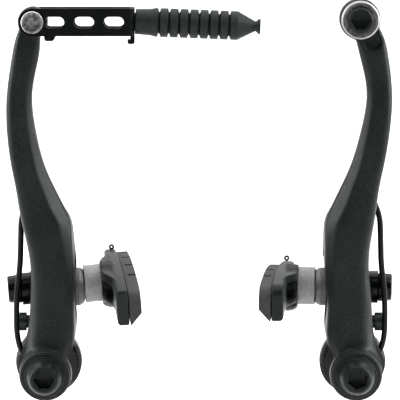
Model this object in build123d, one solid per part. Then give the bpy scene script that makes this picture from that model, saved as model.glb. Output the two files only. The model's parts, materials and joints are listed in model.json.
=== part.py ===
"""Linear-pull rim brake for a bicycle: a pair of forged arms on their pivot units, with shoes, link and boot.

Millimetres, +Z up. The origin is midway between the two pivot axes, in the plane of the frame's shoulders.
The frame's studs point along -Y, so the bolt heads face -Y. Every piece is drawn once with its pivot axis at
the origin and +X outward, away from the wheel, and is then moved to the right side or mirrored to the left.
"""

from build123d import *
import os
from math import atan2, cos, degrees, hypot, pi, radians, sin, sqrt, tan

# Layout of the pair
PIVOT_SPACING = 90.0
ARM_REACH = 102.0
POST_HEIGHT = 24.0
ANCHOR_RISE = 0.7
SHOULDER_HEIGHT = 45.0
BOW_HEIGHT = 77.0

# Pivot unit, stacked forward from the frame's shoulder
STUD_R = 4.0
STUD_CLEARANCE = 0.03
BUSH_WALL = 0.97
BUSH_LENGTH = 29.0
CAP_THICKNESS = 5.7
CAP_RIM = 1.5
CAP_EDGE = 0.8
PIVOT_GAP = 0.25
RUNNING_CLEARANCE = 0.05
RING_R = 7.2
RING_THICKNESS = 1.3
RING_EDGE = 0.35
LOCATING_PIN_R = 1.25
LOCATING_PIN_LENGTH = 4.5
LOCATING_PIN_OFFSET = 7.4

# Mounting bolt
M6_R = 3.0
BOLT_SHANK = 18.0
BOLT_FLANGE_R = 5.9
BOLT_FLANGE_THICKNESS = 1.1
BOLT_HEAD_HEIGHT = 6.0
BOLT_RIM_R = 3.55
BOLT_SHOULDER = 0.5
BOLT_BULGE_R = 0.45
BOLT_BULGE = 0.3
HEX_KEY = 5.0
HEX_DEPTH = 3.2

# Return spring
WIRE_R = 0.85
COIL_TURNS = 3
COIL_CLEARANCE = 0.2
SPRING_TAIL = 2.2
LEG_PLANE = 16.7
LEG_BULGE = 9.0
LEG_BULGE_HEIGHT = 11.0
LEG_SHOULDER = 8.6
LEG_SHOULDER_HEIGHT = 22.0
LEG_BEND_R = 4.0
LEG_KINK_R = 2.5
LEG_HOOK_HEIGHT = 9.0
LEG_HOOK_RUN = 3.5
LEG_TRACK = 0.3
PEG_R = 0.9
PEG_ROOT = 3.0
PEG_HEAD_R = 1.3
PEG_HEAD = 0.6
PEG_OFFSET = 4.8

# Tension screw
SCREW_R = 1.9
SCREW_HEAD_R = 2.7
SCREW_HEAD = 2.0
SCREW_LENGTH = 4.5
SCREW_HEIGHT = 13.9
SCREW_FIT = 0.02
SCREW_GAP = 0.1
CROSS_SLOT = 0.7

# Arm
CUP_WALL = 1.2
BOSS_DRAFT = 0.7
BOSS_EDGE = 0.5
ARM_FRONT = 26.4
HEAD_THICKNESS = 6.4
LINK_HEAD_R = 4.3
LINK_HEAD_OFFSET = 3.1
ANCHOR_HEAD_R = 5.9
ANCHOR_HEAD_OFFSET = 0.6
CORNER_R = 0.55
BACK_BEVEL = 1.0
FLAT_INNER = 8.4
FLAT_OUTER = 4.2
SPOT_DEPTH = 0.12
SPOT_MARGIN = 0.4
POST_SETBACK = 10.5
SEAT_REACH = 9.5
SLOT_WALL = 2.0
SLOT_SHARE = 0.625
SLOT_TRAVEL = 8.0
SCOOP_DEPTH = 1.5
SCOOP_WIDTH = 5.4
SCOOP_DROP = 7.2
NECK_RUN = 5.0
NECK_RISE = 8.0
BOW_SHIFT = {"left": 0.7, "right": -0.9}
BOW_SHIFT_HEIGHT = 54.0
BOW_SHIFT_REACH = 39.0
ARM_TILT = {"left": 0.0, "right": 0.27}
NECK_FILL = {"left": 0.0, "right": 0.7}

# Shoe seat: domed washers turn about one point on the post's axis, inside the arm
SEAT_DEPTH = 7.0
INNER_DOME_R = 10.5
OUTER_DOME_R = 7.9
DOME_GAP = 0.04
INNER_WASHER_R = 5.6
INNER_WASHER_RIM = 1.1
INNER_WASHER_FACE_R = 4.9
OUTER_WASHER_R = 4.75
SPACER_R = 5.5
SPACER_EDGE = 0.25
POST_R = 2.95
THREAD_CLEARANCE = 0.05
TILT_CLEARANCE = 0.08
TOE_IN = 4.4
TILT_UP = {"left": 4.2, "right": 0.6}
PITCH = {"left": -2.1, "right": 2.2}
SHOE_DROP = {"left": 0.7, "right": 0.7}
SEAT_SHIFT = {"left": 0.0, "right": 0.5}
NUT_START = 9.0
NUT_LENGTH = 4.1
NUT_R = 4.25
NUT_TAPER = 0.5
NUT_SOCKET = 2.2
NUT_KEY = 6.49
POST_RECESS = 1.0

# Shoe holder and pad, measured inwards from the seat's centre
HOLDER_SEAT = 14.4
HOLDER_BACK = 17.1
PAD_SEAT = 20.5
PAD_FACE = 24.15
SHOE_LENGTH = 68.0
SHOE_RADIUS = 300.0
SHOE_CROWN = 0.3
HOLDER_HEIGHT = 10.4
HOLDER_EDGE = 0.7
HOLDER_END_R = {"left": 0.6, "right": 3.2}
END_WALL = 2.0
PAD_DROP = 1.1
PAD_CHAMFER = 3.4
PAD_GAP = 0.25
PAD_LIP = 0.3
PAD_END_R = 4.0
KEY_WIDTH = 4.4
KEY_DEPTH = 2.2
KEY_CLEARANCE = 0.1
GROOVES = 4
GROOVE_INSET = 4.0
GROOVE_PITCH = 14.5
GROOVE_WIDTH = 2.0
GROOVE_DEPTH = 2.4
HUMP_R = 6.2
HUMP_LENGTH = 50.0
HUMP_ROOT = 0.4
POCKET_LENGTH = 12.0
POCKET_HEIGHT = 5.0
POCKET_WALL = 1.2
POCKET_DROP = 0.4
DRAIN_R = 1.3
DRAIN_WALL = 0.3
DRAIN_DEPTH = 3.0
POCKET_FLOOR = 0.9
PIN_R = 0.32
PIN_LOOP_R = 0.55
PIN_INSET = 4.0
PIN_CLEARANCE = 0.05

# Cable link
SHEET = 1.2
SHEET_GAP = 0.1
LINK_HEIGHT = 7.9
LINK_LENGTH = 29.15
BEND_R = 2.0
WINDOW_LENGTH = 5.8
WINDOW_HEIGHT = 3.2
WINDOW_PITCH = 8.52
WINDOW_START = 6.25
WINDOWS = 3
STOP_WIDTH = 2.9
STOP_DROP = 1.4
STOP_REACH = 4.85
KEYHOLE_R = 2.6
KEYHOLE_SLOT = 2.2
HOOK_DROP = 2.4
HOOK_WIDTH = 4.2
HOOK_CURL = 0.8
RIVET_R = 2.2
RIVET_HEAD_R = 3.2
RIVET_HEAD = 1.1
RIVET_DISH_R = 2.65
RIVET_DISH = 0.25

# Cable boot
BOOT_DROOP = 2.3
NECK_R = 3.3
NECK_LENGTH = 4.2
FLARE_LENGTH = 2.2
RIB_R = 4.15
RIB_WIDTH = 1.9
GROOVE_R = 3.15
RIB_PITCH = 2.8
RIBS = 7
CONE_LENGTH = 5.1
CONE_END_R = 1.4
TIP_R = 2.1
TIP_LENGTH = 1.5
TIP_EDGE = 0.3
BOOT_BORE_R = 2.2
PIPE_BORE_R = 1.8
CABLE_BORE_R = 0.9
LIP_R = 3.0
LIP_EDGE = 0.3
LIP_LENGTH = 0.9
SPIGOT_CLEARANCE = 0.05

# Cable anchor
ANCHOR_PLATE_R = 5.45
ANCHOR_PLATE = 2.5
ANCHOR_DISH = 1.2
ANCHOR_DISH_R = 5.0
ANCHOR_BOLT_R = 3.66
ANCHOR_HEAD = 2.7
ANCHOR_SOCKET = 2.1
ANCHOR_TURN = 30.0
CABLE_GROOVE_R = 0.85
CABLE_GROOVE_OFFSET = 3.9
ANCHOR_TAIL = 1.2

# Sizes that follow from those above
BUSH_BORE_R = STUD_R + STUD_CLEARANCE
BUSH_R = BUSH_BORE_R + BUSH_WALL
COIL_R = BUSH_R + COIL_CLEARANCE + WIRE_R
CUP_R = COIL_R + WIRE_R + COIL_CLEARANCE
BOSS_R = CUP_R + CUP_WALL
CAP_R = BOSS_R + CAP_RIM
BOSS_BACK = CAP_THICKNESS + PIVOT_GAP
BOSS_FRONT = BUSH_LENGTH - PIVOT_GAP
CUP_END = LEG_PLANE + WIRE_R + COIL_CLEARANCE
RING_FRONT = BUSH_LENGTH + RING_THICKNESS
HEAD_BACK = ARM_FRONT - HEAD_THICKNESS
ANCHOR_HEIGHT = ARM_REACH + ANCHOR_RISE
UPPER_BACK = LEG_PLANE + WIRE_R + 2 * COIL_CLEARANCE
SEAT_X = SEAT_DEPTH - FLAT_INNER
LEAN = hypot(TOE_IN, max(TILT_UP.values()))


def turned_y(outline):
    """Solid turned about the Y axis from (radius, y) points."""
    return revolve(make_face(Polyline(*outline, close=True)), Axis.Y)


def turned_x(outline):
    """Solid turned about the X axis from (x, radius) points."""
    return revolve(make_face(Polyline(*outline, close=True)), Axis.X)


def bar_x(radius, start, end, y=0.0, z=0.0):
    """Round bar along X."""
    return Pos((start + end) / 2, y, z) * Rot(0, 90, 0) * Cylinder(radius, abs(end - start))


def bar_y(radius, start, end, x=0.0, z=0.0):
    """Round bar along Y, between two distances in front of the frame's shoulder."""
    return Pos(x, -(start + end) / 2, z) * Rot(90, 0, 0) * Cylinder(radius, abs(end - start))


def block(x, y, z):
    """Box between pairs of limits."""
    size = Box(abs(x[1] - x[0]), abs(y[1] - y[0]), abs(z[1] - z[0]))
    return Pos(sum(x) / 2, sum(y) / 2, sum(z) / 2) * size


def hex_socket(depth, at):
    """Cutter for a hex key, running backwards (+Y) from a distance in front of the shoulder."""
    hexagon = Rot(90, 0, 0) * RegularPolygon(HEX_KEY / 2, 6, major_radius=False)
    return Pos(0, -at, 0) * extrude(hexagon, depth, dir=(0, 1, 0))


# Arm


def arm_section(height, outer, inner, front, back, outer_bevel, inner_bevel):
    """Level section of the arm: a block with broad front bevels and small back bevels, all edges rounded."""
    points = [
        (outer, outer_bevel - front),
        (outer, -back - BACK_BEVEL),
        (outer - BACK_BEVEL, -back),
        (BACK_BEVEL - inner, -back),
        (-inner, -back - BACK_BEVEL),
        (-inner, inner_bevel - front),
        (inner_bevel - inner, -front),
        (outer - outer_bevel, -front),
    ]
    face = make_face(Polyline(*points, close=True))
    return Pos(0, 0, height) * fillet(face.vertices(), CORNER_R)


def bow_shift(height, side):
    """How far outward one arm's middle stands from the shape that both share."""
    lean = -height * tan(radians(ARM_TILT[side]))
    if height < POST_HEIGHT + 5:
        return 0.0
    if abs(height - BOW_SHIFT_HEIGHT) > BOW_SHIFT_REACH:
        return lean
    wave = cos(pi / 2 * (height - BOW_SHIFT_HEIGHT) / BOW_SHIFT_REACH)
    return lean + BOW_SHIFT[side] * wave * wave


def arm_stations(side, head_offset, head_r, head_height):
    """Sections from the boss to the head: height, outer and inner reach, front, back, outer and inner bevel."""
    low, high = POST_HEIGHT - SEAT_REACH, POST_HEIGHT + SEAT_REACH
    knee, bow, top = SHOULDER_HEIGHT, BOW_HEIGHT, head_height
    seat_out, seat_in = FLAT_OUTER + SPOT_DEPTH, FLAT_INNER + SPOT_DEPTH
    seat_back = POST_SETBACK - slot_half_width() - SLOT_WALL
    boss_half = BOSS_R - BOSS_DRAFT - 1.0
    neck = NECK_FILL[side]
    stations = [
        (0.0, boss_half, boss_half, BOSS_FRONT - 1.2, BOSS_BACK + 1.5, 3.0, 2.6),
        (8.0, 6.4, 8.0, BOSS_FRONT - 1.4, BOSS_BACK + 1.0, 3.6, 2.6),
        (low, seat_out + 0.6, seat_in, ARM_FRONT + 0.7, seat_back + 0.2, 3.2, 2.4),
        (POST_HEIGHT, seat_out, seat_in, ARM_FRONT + 0.5, seat_back, 2.6, 2.4),
        (high, seat_out, seat_in, ARM_FRONT + 0.3, seat_back + 0.4, 2.2, 2.6),
        (knee - 5, 5.4, 8.3, ARM_FRONT + 0.2, 9.5, 2.0, 3.2),
        (knee, 6.4, 7.6, ARM_FRONT + 0.1, UPPER_BACK - 3.4, 1.8, 3.8),
        (knee + 3, 6.9, 6.2, ARM_FRONT, UPPER_BACK - 0.3, 1.7, 4.0),
        (knee + 7.5, 7.5, 4.0, ARM_FRONT, UPPER_BACK, 1.6, 3.6),
        (knee + 14, 8.7, 1.0, ARM_FRONT, UPPER_BACK + 0.1, 1.5, 2.8),
        (bow - 10, 10.0, -1.4, ARM_FRONT, UPPER_BACK + 0.4, 1.5, 2.2),
        (bow, 10.7, -3.2, ARM_FRONT, UPPER_BACK + 1.3, 1.5, 1.8),
        (top - 16, 10.1, 0.3 * neck - 2.7, ARM_FRONT, HEAD_BACK, 1.5, 1.6),
        (top - 8, 8.8, neck - 1.2, ARM_FRONT, HEAD_BACK, 1.3, 1.4),
    ]
    moved = []
    for height, outer, inner, *rest in stations:
        shift = bow_shift(height, side)
        moved.append((height, outer + shift, inner - shift, *rest))
    last = (top - 2, head_offset + 0.9 * head_r, 0.6 * head_r - head_offset, ARM_FRONT, HEAD_BACK, 1.0, 1.0)
    return [*moved, last]


def slot_half_width():
    """Half the width of the post's slot: the post, and the room its lean needs inside the arm."""
    return POST_R + SLOT_SHARE * INNER_DOME_R * sin(radians(LEAN)) + TILT_CLEARANCE


def post_slot(half_width, travel, start, end):
    """Cutter for an upright slot along X, centred on the post."""
    profile = Plane.YZ * Rot(0, 0, 90) * SlotCenterToCenter(travel, 2 * half_width)
    return Pos(start, -POST_SETBACK, POST_HEIGHT) * extrude(profile, end - start, dir=(1, 0, 0))


def arm_blank(side, head_offset, head_r, head_height):
    """Forged lever with its pivot boss and head, before machining."""
    stations = arm_stations(side, head_offset, head_r, head_height)
    lever = loft([arm_section(*station) for station in stations])
    boss = turned_y(
        [
            (0, -BOSS_BACK),
            (BOSS_R, -BOSS_BACK),
            (BOSS_R - BOSS_DRAFT, -BOSS_FRONT + BOSS_EDGE),
            (BOSS_R - BOSS_DRAFT - BOSS_EDGE, -BOSS_FRONT),
            (0, -BOSS_FRONT),
        ]
    )
    head = bar_y(head_r, HEAD_BACK, ARM_FRONT, head_offset, head_height)
    head = chamfer(head.edges().filter_by(GeomType.CIRCLE), BOSS_EDGE)
    return lever + boss + head


def machined(blank):
    """Cuts that both arms share: pivot bore, spring cup, leg slot, shoe seats, screw and peg holes."""
    arm = blank - bar_y(BUSH_R + RUNNING_CLEARANCE, 0, BUSH_LENGTH + 1)
    arm -= bar_y(CUP_R, 0, CUP_END)
    leg_room = WIRE_R + COIL_CLEARANCE
    arm -= block((0, 2 * BOSS_R), (leg_room - LEG_PLANE, -leg_room - LEG_PLANE), (-leg_room, LEG_BULGE_HEIGHT))
    arm -= post_slot(slot_half_width(), SLOT_TRAVEL, -2 * FLAT_INNER, 2 * FLAT_INNER)
    arm -= post_slot(SPACER_R + SPOT_MARGIN, SLOT_TRAVEL, -2 * FLAT_INNER, -FLAT_INNER)
    arm -= post_slot(OUTER_WASHER_R + SPOT_MARGIN, SLOT_TRAVEL, FLAT_OUTER, 2 * FLAT_INNER)
    arm -= leg_relief()
    arm -= bar_x(SCREW_R + SCREW_FIT, screw_tip(), 2 * FLAT_INNER, -LEG_PLANE, SCREW_HEIGHT)
    under = screw_face() - SCREW_HEAD
    arm -= bar_x(SCREW_HEAD_R + COIL_CLEARANCE, under, 2 * FLAT_INNER, -LEG_PLANE, SCREW_HEIGHT)
    arm -= bar_y(PEG_R, 0, UPPER_BACK + PEG_ROOT, PEG_OFFSET, peg_height())
    return arm


def left_arm():
    """Arm whose head carries the cable link."""
    arm = machined(arm_blank("left", LINK_HEAD_OFFSET, LINK_HEAD_R, ARM_REACH))
    return arm - bar_y(RIVET_R + RUNNING_CLEARANCE, 0, 2 * ARM_FRONT, LINK_HEAD_OFFSET, ARM_REACH)


def right_arm():
    """Arm whose head clamps the cable, with a scoop in its front face for the cable's end."""
    arm = machined(arm_blank("right", ANCHOR_HEAD_OFFSET, ANCHOR_HEAD_R, ANCHOR_HEIGHT))
    arm -= bar_y(M6_R, 0, 2 * ARM_FRONT, ANCHOR_HEAD_OFFSET, ANCHOR_HEIGHT)
    scoop = Plane.XZ * SlotCenterPoint((0, -SCOOP_DROP / 2), (0, -SCOOP_DROP), SCOOP_WIDTH)
    scoop = extrude(scoop, SCOOP_DEPTH + 1)
    place = Pos(ANCHOR_HEAD_OFFSET, SCOOP_DEPTH - ARM_FRONT, ANCHOR_HEIGHT)
    return arm - place * Rot(0, -scoop_lean(), 0) * scoop


def scoop_lean():
    """Angle of the neck below the clamp head, from upright."""
    return degrees(atan2(NECK_RUN - ANCHOR_HEAD_OFFSET, NECK_RISE))


# Pivot unit


def pivot_bush():
    """Steel sleeve from the frame's shoulder to the front ring."""
    return bar_y(BUSH_R, 0, BUSH_LENGTH) - bar_y(BUSH_BORE_R, 0, BUSH_LENGTH)


def pivot_ring():
    """Front ring that keeps the boss on the bush, with the bush's bore."""
    return turned_y(
        [
            (BUSH_BORE_R, -BUSH_LENGTH),
            (RING_R, -BUSH_LENGTH),
            (RING_R, RING_EDGE - RING_FRONT),
            (RING_R - RING_EDGE, -RING_FRONT),
            (BUSH_BORE_R, -RING_FRONT),
        ]
    )


def mounting_bolt():
    """Flanged bolt with a domed head and hex socket."""
    flange = RING_FRONT + BOLT_FLANGE_THICKNESS
    front = RING_FRONT + BOLT_HEAD_HEIGHT
    shoulder_r = BOLT_FLANGE_R - BOLT_SHOULDER
    half_r = (shoulder_r + BOLT_RIM_R) / 2 + BOLT_BULGE_R
    half_y = (flange + front) / 2 + BOLT_BULGE
    side = Polyline(
        (0, -front),
        (0, BOLT_SHANK - RING_FRONT),
        (M6_R, BOLT_SHANK - RING_FRONT),
        (M6_R, -RING_FRONT),
        (BOLT_FLANGE_R, -RING_FRONT),
        (BOLT_FLANGE_R, -flange),
        (shoulder_r, -flange),
    )
    dome = ThreePointArc((shoulder_r, -flange), (half_r, -half_y), (BOLT_RIM_R, -front))
    rim = Line((BOLT_RIM_R, -front), (0, -front))
    bolt = revolve(make_face([side, dome, rim]), Axis.Y)
    return bolt - hex_socket(HEX_DEPTH, front)


def spring_cap():
    """Round cap at the back, with the spring's anchor hole and the pin for the frame's spring hole."""
    cap = turned_y(
        [
            (BUSH_R + STUD_CLEARANCE, 0),
            (CAP_R - CAP_EDGE, 0),
            (CAP_R, -CAP_EDGE),
            (CAP_R, CAP_EDGE - CAP_THICKNESS),
            (CAP_R - CAP_EDGE, -CAP_THICKNESS),
            (BUSH_R + STUD_CLEARANCE, -CAP_THICKNESS),
        ]
    )
    cap += Pos(0, 0, LOCATING_PIN_OFFSET) * bar_y(LOCATING_PIN_R, -LOCATING_PIN_LENGTH, CAP_EDGE)
    tail = CAP_THICKNESS - SPRING_TAIL - COIL_CLEARANCE
    return cap - bar_y(WIRE_R + STUD_CLEARANCE, tail, CAP_THICKNESS + 1, COIL_R)


def leg_knee():
    """Point of the leg's bulge, and the point where it bends in behind the arm."""
    return (LEG_BULGE, LEG_BULGE_HEIGHT), (LEG_SHOULDER, LEG_SHOULDER_HEIGHT)


def leg_hook():
    """Point where the leg turns upright behind its peg."""
    return PEG_OFFSET - PEG_R - RUNNING_CLEARANCE - WIRE_R, SHOULDER_HEIGHT + LEG_HOOK_HEIGHT


def leg_relief():
    """Cutter that clears the leg's way in behind the arm."""
    room = WIRE_R + COIL_CLEARANCE
    (x0, z0), (x1, z1) = leg_knee()[1], leg_hook()
    above = z1 + LEG_HOOK_RUN + room
    outline = [(x0 - room, z0), (x1 - room, z1), (x1 - room, above), (2 * BOSS_R, above), (2 * BOSS_R, z0)]
    return extrude(Plane.XZ * make_face(Polyline(*outline, close=True)), UPPER_BACK + LEG_TRACK)


def peg_height():
    """Height of the peg: halfway along the leg's hooked end."""
    return SHOULDER_HEIGHT + LEG_HOOK_HEIGHT + LEG_HOOK_RUN / 2


def return_spring():
    """Coil round the bush, with a tail in the cap and a leg that hooks behind the peg."""
    start = CAP_THICKNESS + COIL_CLEARANCE + WIRE_R
    height = LEG_PLANE - start
    helix = Helix(height / COIL_TURNS, height, COIL_R)
    coil = sweep(Plane(helix @ 0, z_dir=helix % 0) * Circle(WIRE_R), helix, is_frenet=True)
    coil = Pos(0, -start, 0) * Rot(90, 0, 0) * coil
    tail = bar_y(WIRE_R, CAP_THICKNESS - SPRING_TAIL, start, COIL_R)
    bulge, bend = leg_knee()
    hook = leg_hook()
    tip = (hook[0], hook[1] + LEG_HOOK_RUN)
    points = [(x, -LEG_PLANE, z) for x, z in ((COIL_R, 0.0), bulge, bend, hook, tip)]
    path = FilletPolyline(*points, radius=[LEG_BEND_R, LEG_BEND_R, LEG_KINK_R])
    leg = sweep(Plane(path @ 0, z_dir=path % 0) * Circle(WIRE_R), path)
    joints = [Pos(COIL_R, -y, 0) * Sphere(WIRE_R) for y in (start, LEG_PLANE)]
    return coil + tail + leg + joints


def spring_peg():
    """Pin on the arm's back, outside the leg's hooked end, with a small head."""
    head_start = LEG_PLANE - WIRE_R - RUNNING_CLEARANCE
    peg = bar_y(PEG_R, head_start - PEG_HEAD, UPPER_BACK + PEG_ROOT, PEG_OFFSET, peg_height())
    return peg + bar_y(PEG_HEAD_R, head_start - PEG_HEAD, head_start, PEG_OFFSET, peg_height())


def screw_face():
    """Outer end of the tension screw, just clear of the spring's leg."""
    (x0, z0), (x1, z1) = leg_knee()
    centre = x0 + (x1 - x0) * (SCREW_HEIGHT + SCREW_HEAD_R - z0) / (z1 - z0)
    return centre - WIRE_R - SCREW_GAP


def screw_tip():
    """Inner end of the tension screw."""
    return screw_face() - SCREW_HEAD - SCREW_LENGTH


def tension_screw():
    """Cross-head screw in the arm's flank, bearing on the spring's leg."""
    face = screw_face()
    under = face - SCREW_HEAD
    y, z = -LEG_PLANE, SCREW_HEIGHT
    screw = bar_x(SCREW_R, screw_tip(), under, y, z) + bar_x(SCREW_HEAD_R, under, face, y, z)
    half, reach = CROSS_SLOT / 2, SCREW_HEAD_R - CROSS_SLOT
    depth = (face - CROSS_SLOT, face + 1)
    screw -= block(depth, (y - half, y + half), (z - reach, z + reach))
    return screw - block(depth, (y - reach, y + reach), (z - half, z + half))


# Shoe


def seat_point():
    """Point that the shoe leans about."""
    return SEAT_X, -POST_SETBACK, POST_HEIGHT


def inward(distance):
    """X of a plane at a distance from the seat's centre towards the wheel."""
    return SEAT_X - distance


def dome(radius):
    """Ball of a seat's dome, with its seam turned away from the post."""
    return Pos(*seat_point()) * Rot(0, 0, 90) * Sphere(radius)


def post_bar(radius, start, end):
    """Round bar on the post's axis, between two distances inwards from the seat's centre."""
    return bar_x(radius, inward(start), inward(end), -POST_SETBACK, POST_HEIGHT)


def leaned(shape, side):
    """A piece of the shoe, set at its pitch, tilt and toe-in about the seat's centre."""
    x, y, z = seat_point()
    shape = Pos(-x, -y, -z) * shape
    return Pos(x, y, z) * Rot(0, 0, -TOE_IN) * Rot(0, TILT_UP[side], 0) * Rot(-PITCH[side], 0, 0) * shape


def lean_hole(dome_r):
    """Radius of a fixed washer's hole that the leaning post clears."""
    return POST_R + dome_r * sin(radians(LEAN)) + TILT_CLEARANCE


def inner_convex_washer(shift):
    """Domed washer on the wheel side of the arm, with a tapered edge."""
    flat = FLAT_INNER + SEAT_X - shift
    face = sqrt(INNER_DOME_R**2 - INNER_WASHER_FACE_R**2)
    blank = turned_x(
        [
            (-flat, 0),
            (-flat, INNER_WASHER_R),
            (-flat - shift - INNER_WASHER_RIM, INNER_WASHER_R),
            (-face, INNER_WASHER_FACE_R),
            (-INNER_DOME_R - 1, INNER_WASHER_FACE_R),
            (-INNER_DOME_R - 1, 0),
        ]
    )
    washer = Pos(*seat_point()) * blank & dome(INNER_DOME_R)
    return washer - post_bar(lean_hole(INNER_DOME_R), 0, 2 * INNER_DOME_R)


def inner_spacer():
    """Thick spacer with a hollow face on the dome and a flat face on the holder."""
    blank = turned_x(
        [
            (0, 0),
            (0, SPACER_R),
            (SPACER_EDGE - HOLDER_SEAT, SPACER_R),
            (-HOLDER_SEAT, SPACER_R - SPACER_EDGE),
            (-HOLDER_SEAT, 0),
        ]
    )
    spacer = Pos(*seat_point()) * blank - dome(INNER_DOME_R + DOME_GAP)
    return spacer - post_bar(POST_R + THREAD_CLEARANCE, 0, 2 * HOLDER_SEAT)


def outer_convex_washer(shift):
    """Domed washer on the outer side of the arm."""
    flat = FLAT_OUTER - SEAT_X + shift
    washer = post_bar(OUTER_WASHER_R, -flat, -OUTER_DOME_R) & dome(OUTER_DOME_R)
    return washer - post_bar(lean_hole(OUTER_DOME_R), 0, -2 * OUTER_DOME_R)


def outer_concave_washer():
    """Hollow washer under the nut."""
    washer = post_bar(OUTER_WASHER_R, 0, -NUT_START) - dome(OUTER_DOME_R + DOME_GAP)
    return washer - post_bar(POST_R + THREAD_CLEARANCE, 0, -2 * NUT_START)


def shoe_nut():
    """Round tapered nut with a hex socket in its outer end."""
    x, y, z = seat_point()
    end = NUT_START + NUT_LENGTH
    nut = turned_x(
        [
            (NUT_START, POST_R + THREAD_CLEARANCE),
            (NUT_START, NUT_R),
            (end - BOSS_EDGE, NUT_R - NUT_TAPER),
            (end, NUT_R - NUT_TAPER - BOSS_EDGE),
            (end, POST_R + THREAD_CLEARANCE),
        ]
    )
    hexagon = Plane.YZ * RegularPolygon(NUT_KEY / 2, 6, major_radius=False)
    nut -= Pos(end - NUT_SOCKET, 0, 0) * extrude(hexagon, NUT_SOCKET + 1, dir=(1, 0, 0))
    return Pos(x, y, z) * nut


def bent(outline, length):
    """Bar of the shoe: (inward, height) points on the post, swept along the rim's curve."""
    x, y, z = seat_point()
    face = Plane.XZ * make_face(Polyline(*[(-s, q) for s, q in outline], close=True))
    axis = Axis((0, 0, SHOE_CROWN - SHOE_RADIUS), (1, 0, 0))
    arc = degrees(length / SHOE_RADIUS)
    bar = revolve(face, axis, revolution_arc=arc).rotate(axis, -arc / 2)
    return Pos(x, y, z) * bar


def along_shoe(shape, distance):
    """A cutter drawn at the post, moved along the rim's curve towards +Y."""
    x, y, z = seat_point()
    axis = Axis((x, y, z + SHOE_CROWN - SHOE_RADIUS), (1, 0, 0))
    return shape.rotate(axis, -degrees(distance / SHOE_RADIUS))


def rounded_end(bar, radius, top):
    """A bar of the shoe with the upper edge of its near end rounded."""
    x, y, z = seat_point()
    reach = (inward(PAD_FACE + 1), inward(HOLDER_SEAT))
    corner = block(reach, (y - 1, y + radius), (z + top - radius, z + top + 1))
    corner -= bar_x(radius, *reach, y + radius, z + top - radius)
    return bar - along_shoe(corner, -SHOE_LENGTH / 2)


def shoe_holder(end_r):
    """Cartridge holder: curved bar with a keyway closed at its near end, a hump with pockets, and the post."""
    x, y, z = seat_point()
    low, high = SHOE_CROWN - HOLDER_HEIGHT / 2, SHOE_CROWN + HOLDER_HEIGHT / 2
    floor, key = PAD_SEAT - KEY_DEPTH, KEY_WIDTH / 2 + KEY_CLEARANCE
    outline = [
        (HOLDER_BACK + HOLDER_EDGE, low),
        (PAD_SEAT, low),
        (PAD_SEAT, high),
        (HOLDER_BACK + HOLDER_EDGE, high),
        (HOLDER_BACK, high - HOLDER_EDGE),
        (HOLDER_BACK, low + HOLDER_EDGE),
    ]
    holder = rounded_end(bent(outline, SHOE_LENGTH), end_r, high)
    holder -= along_shoe(bent(key_outline(floor, PAD_SEAT + 1, key), SHOE_LENGTH), END_WALL)
    root = HOLDER_BACK + HUMP_ROOT
    seat, foot = inward(HOLDER_SEAT), inward(root)
    corners = [(foot, y - HUMP_LENGTH / 2), (seat, y - HUMP_R), (seat, y + HUMP_R), (foot, y + HUMP_LENGTH / 2)]
    near = Spline(corners[0], corners[1], tangents=[(0, 1), (0, 1)])
    far = Spline(corners[2], corners[3], tangents=[(0, 1), (0, 1)])
    plan = make_face([near, Line(corners[1], corners[2]), far, Line(corners[3], corners[0])])
    hump_low, hump_high = low + HOLDER_EDGE, high - HOLDER_EDGE
    holder += Pos(0, 0, z + hump_low) * extrude(plan, hump_high - hump_low)
    holder += post_bar(HUMP_R, HOLDER_SEAT, root)
    pocket = Plane.YZ * SlotOverall(POCKET_LENGTH, POCKET_HEIGHT)
    pocket = extrude(pocket, 2 * HOLDER_SEAT, dir=(1, 0, 0))
    reach = HUMP_R + POCKET_WALL + POCKET_LENGTH / 2
    for offset in (-reach, reach):
        holder -= Pos(inward(floor - POCKET_FLOOR), y + offset, z + SHOE_CROWN - POCKET_DROP) * pocket
    drain_x = inward(HOLDER_SEAT + DRAIN_WALL + DRAIN_R)
    drain = bar_y(DRAIN_R, HUMP_R - DRAIN_DEPTH, HUMP_R + DRAIN_DEPTH, drain_x, z + hump_low)
    holder -= Pos(0, y, 0) * drain
    holder += post_bar(POST_R, root, POST_RECESS - NUT_START - NUT_LENGTH)
    return holder - pin_hole()


def key_outline(start, end, half_height):
    """Section of the pad's key between two distances inwards."""
    low, high = SHOE_CROWN - half_height, SHOE_CROWN + half_height
    return [(start, low), (end, low), (end, high), (start, high)]


def brake_pad():
    """Rubber pad with a key on its back, a chamfer along its lower edge and water grooves."""
    x, y, z = seat_point()
    low, high = SHOE_CROWN - HOLDER_HEIGHT / 2, SHOE_CROWN + HOLDER_HEIGHT / 2 - PAD_DROP
    back = PAD_SEAT + PAD_GAP
    outline = [
        (back, low),
        (back + PAD_LIP, low),
        (PAD_FACE, low + PAD_CHAMFER),
        (PAD_FACE, high),
        (back, high),
    ]
    pad = rounded_end(bent(outline, SHOE_LENGTH), PAD_END_R, high)
    setback = END_WALL + KEY_CLEARANCE
    key = bent(key_outline(PAD_SEAT - KEY_DEPTH, back + PAD_LIP, KEY_WIDTH / 2), SHOE_LENGTH - setback)
    pad += along_shoe(key, setback / 2)
    groove = block(
        (inward(PAD_FACE - GROOVE_DEPTH), inward(PAD_FACE + 1)),
        (y - GROOVE_WIDTH / 2, y + GROOVE_WIDTH / 2),
        (z + low - 1, z + high + 1),
    )
    for index in range(GROOVES):
        pad -= along_shoe(groove, SHOE_LENGTH / 2 - GROOVE_INSET - index * GROOVE_PITCH)
    return pad - pin_hole()


def pin_place():
    """Distance inwards and along the shoe of the pad's pin."""
    return PAD_SEAT - KEY_DEPTH / 2, SHOE_LENGTH / 2 - PIN_INSET


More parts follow.
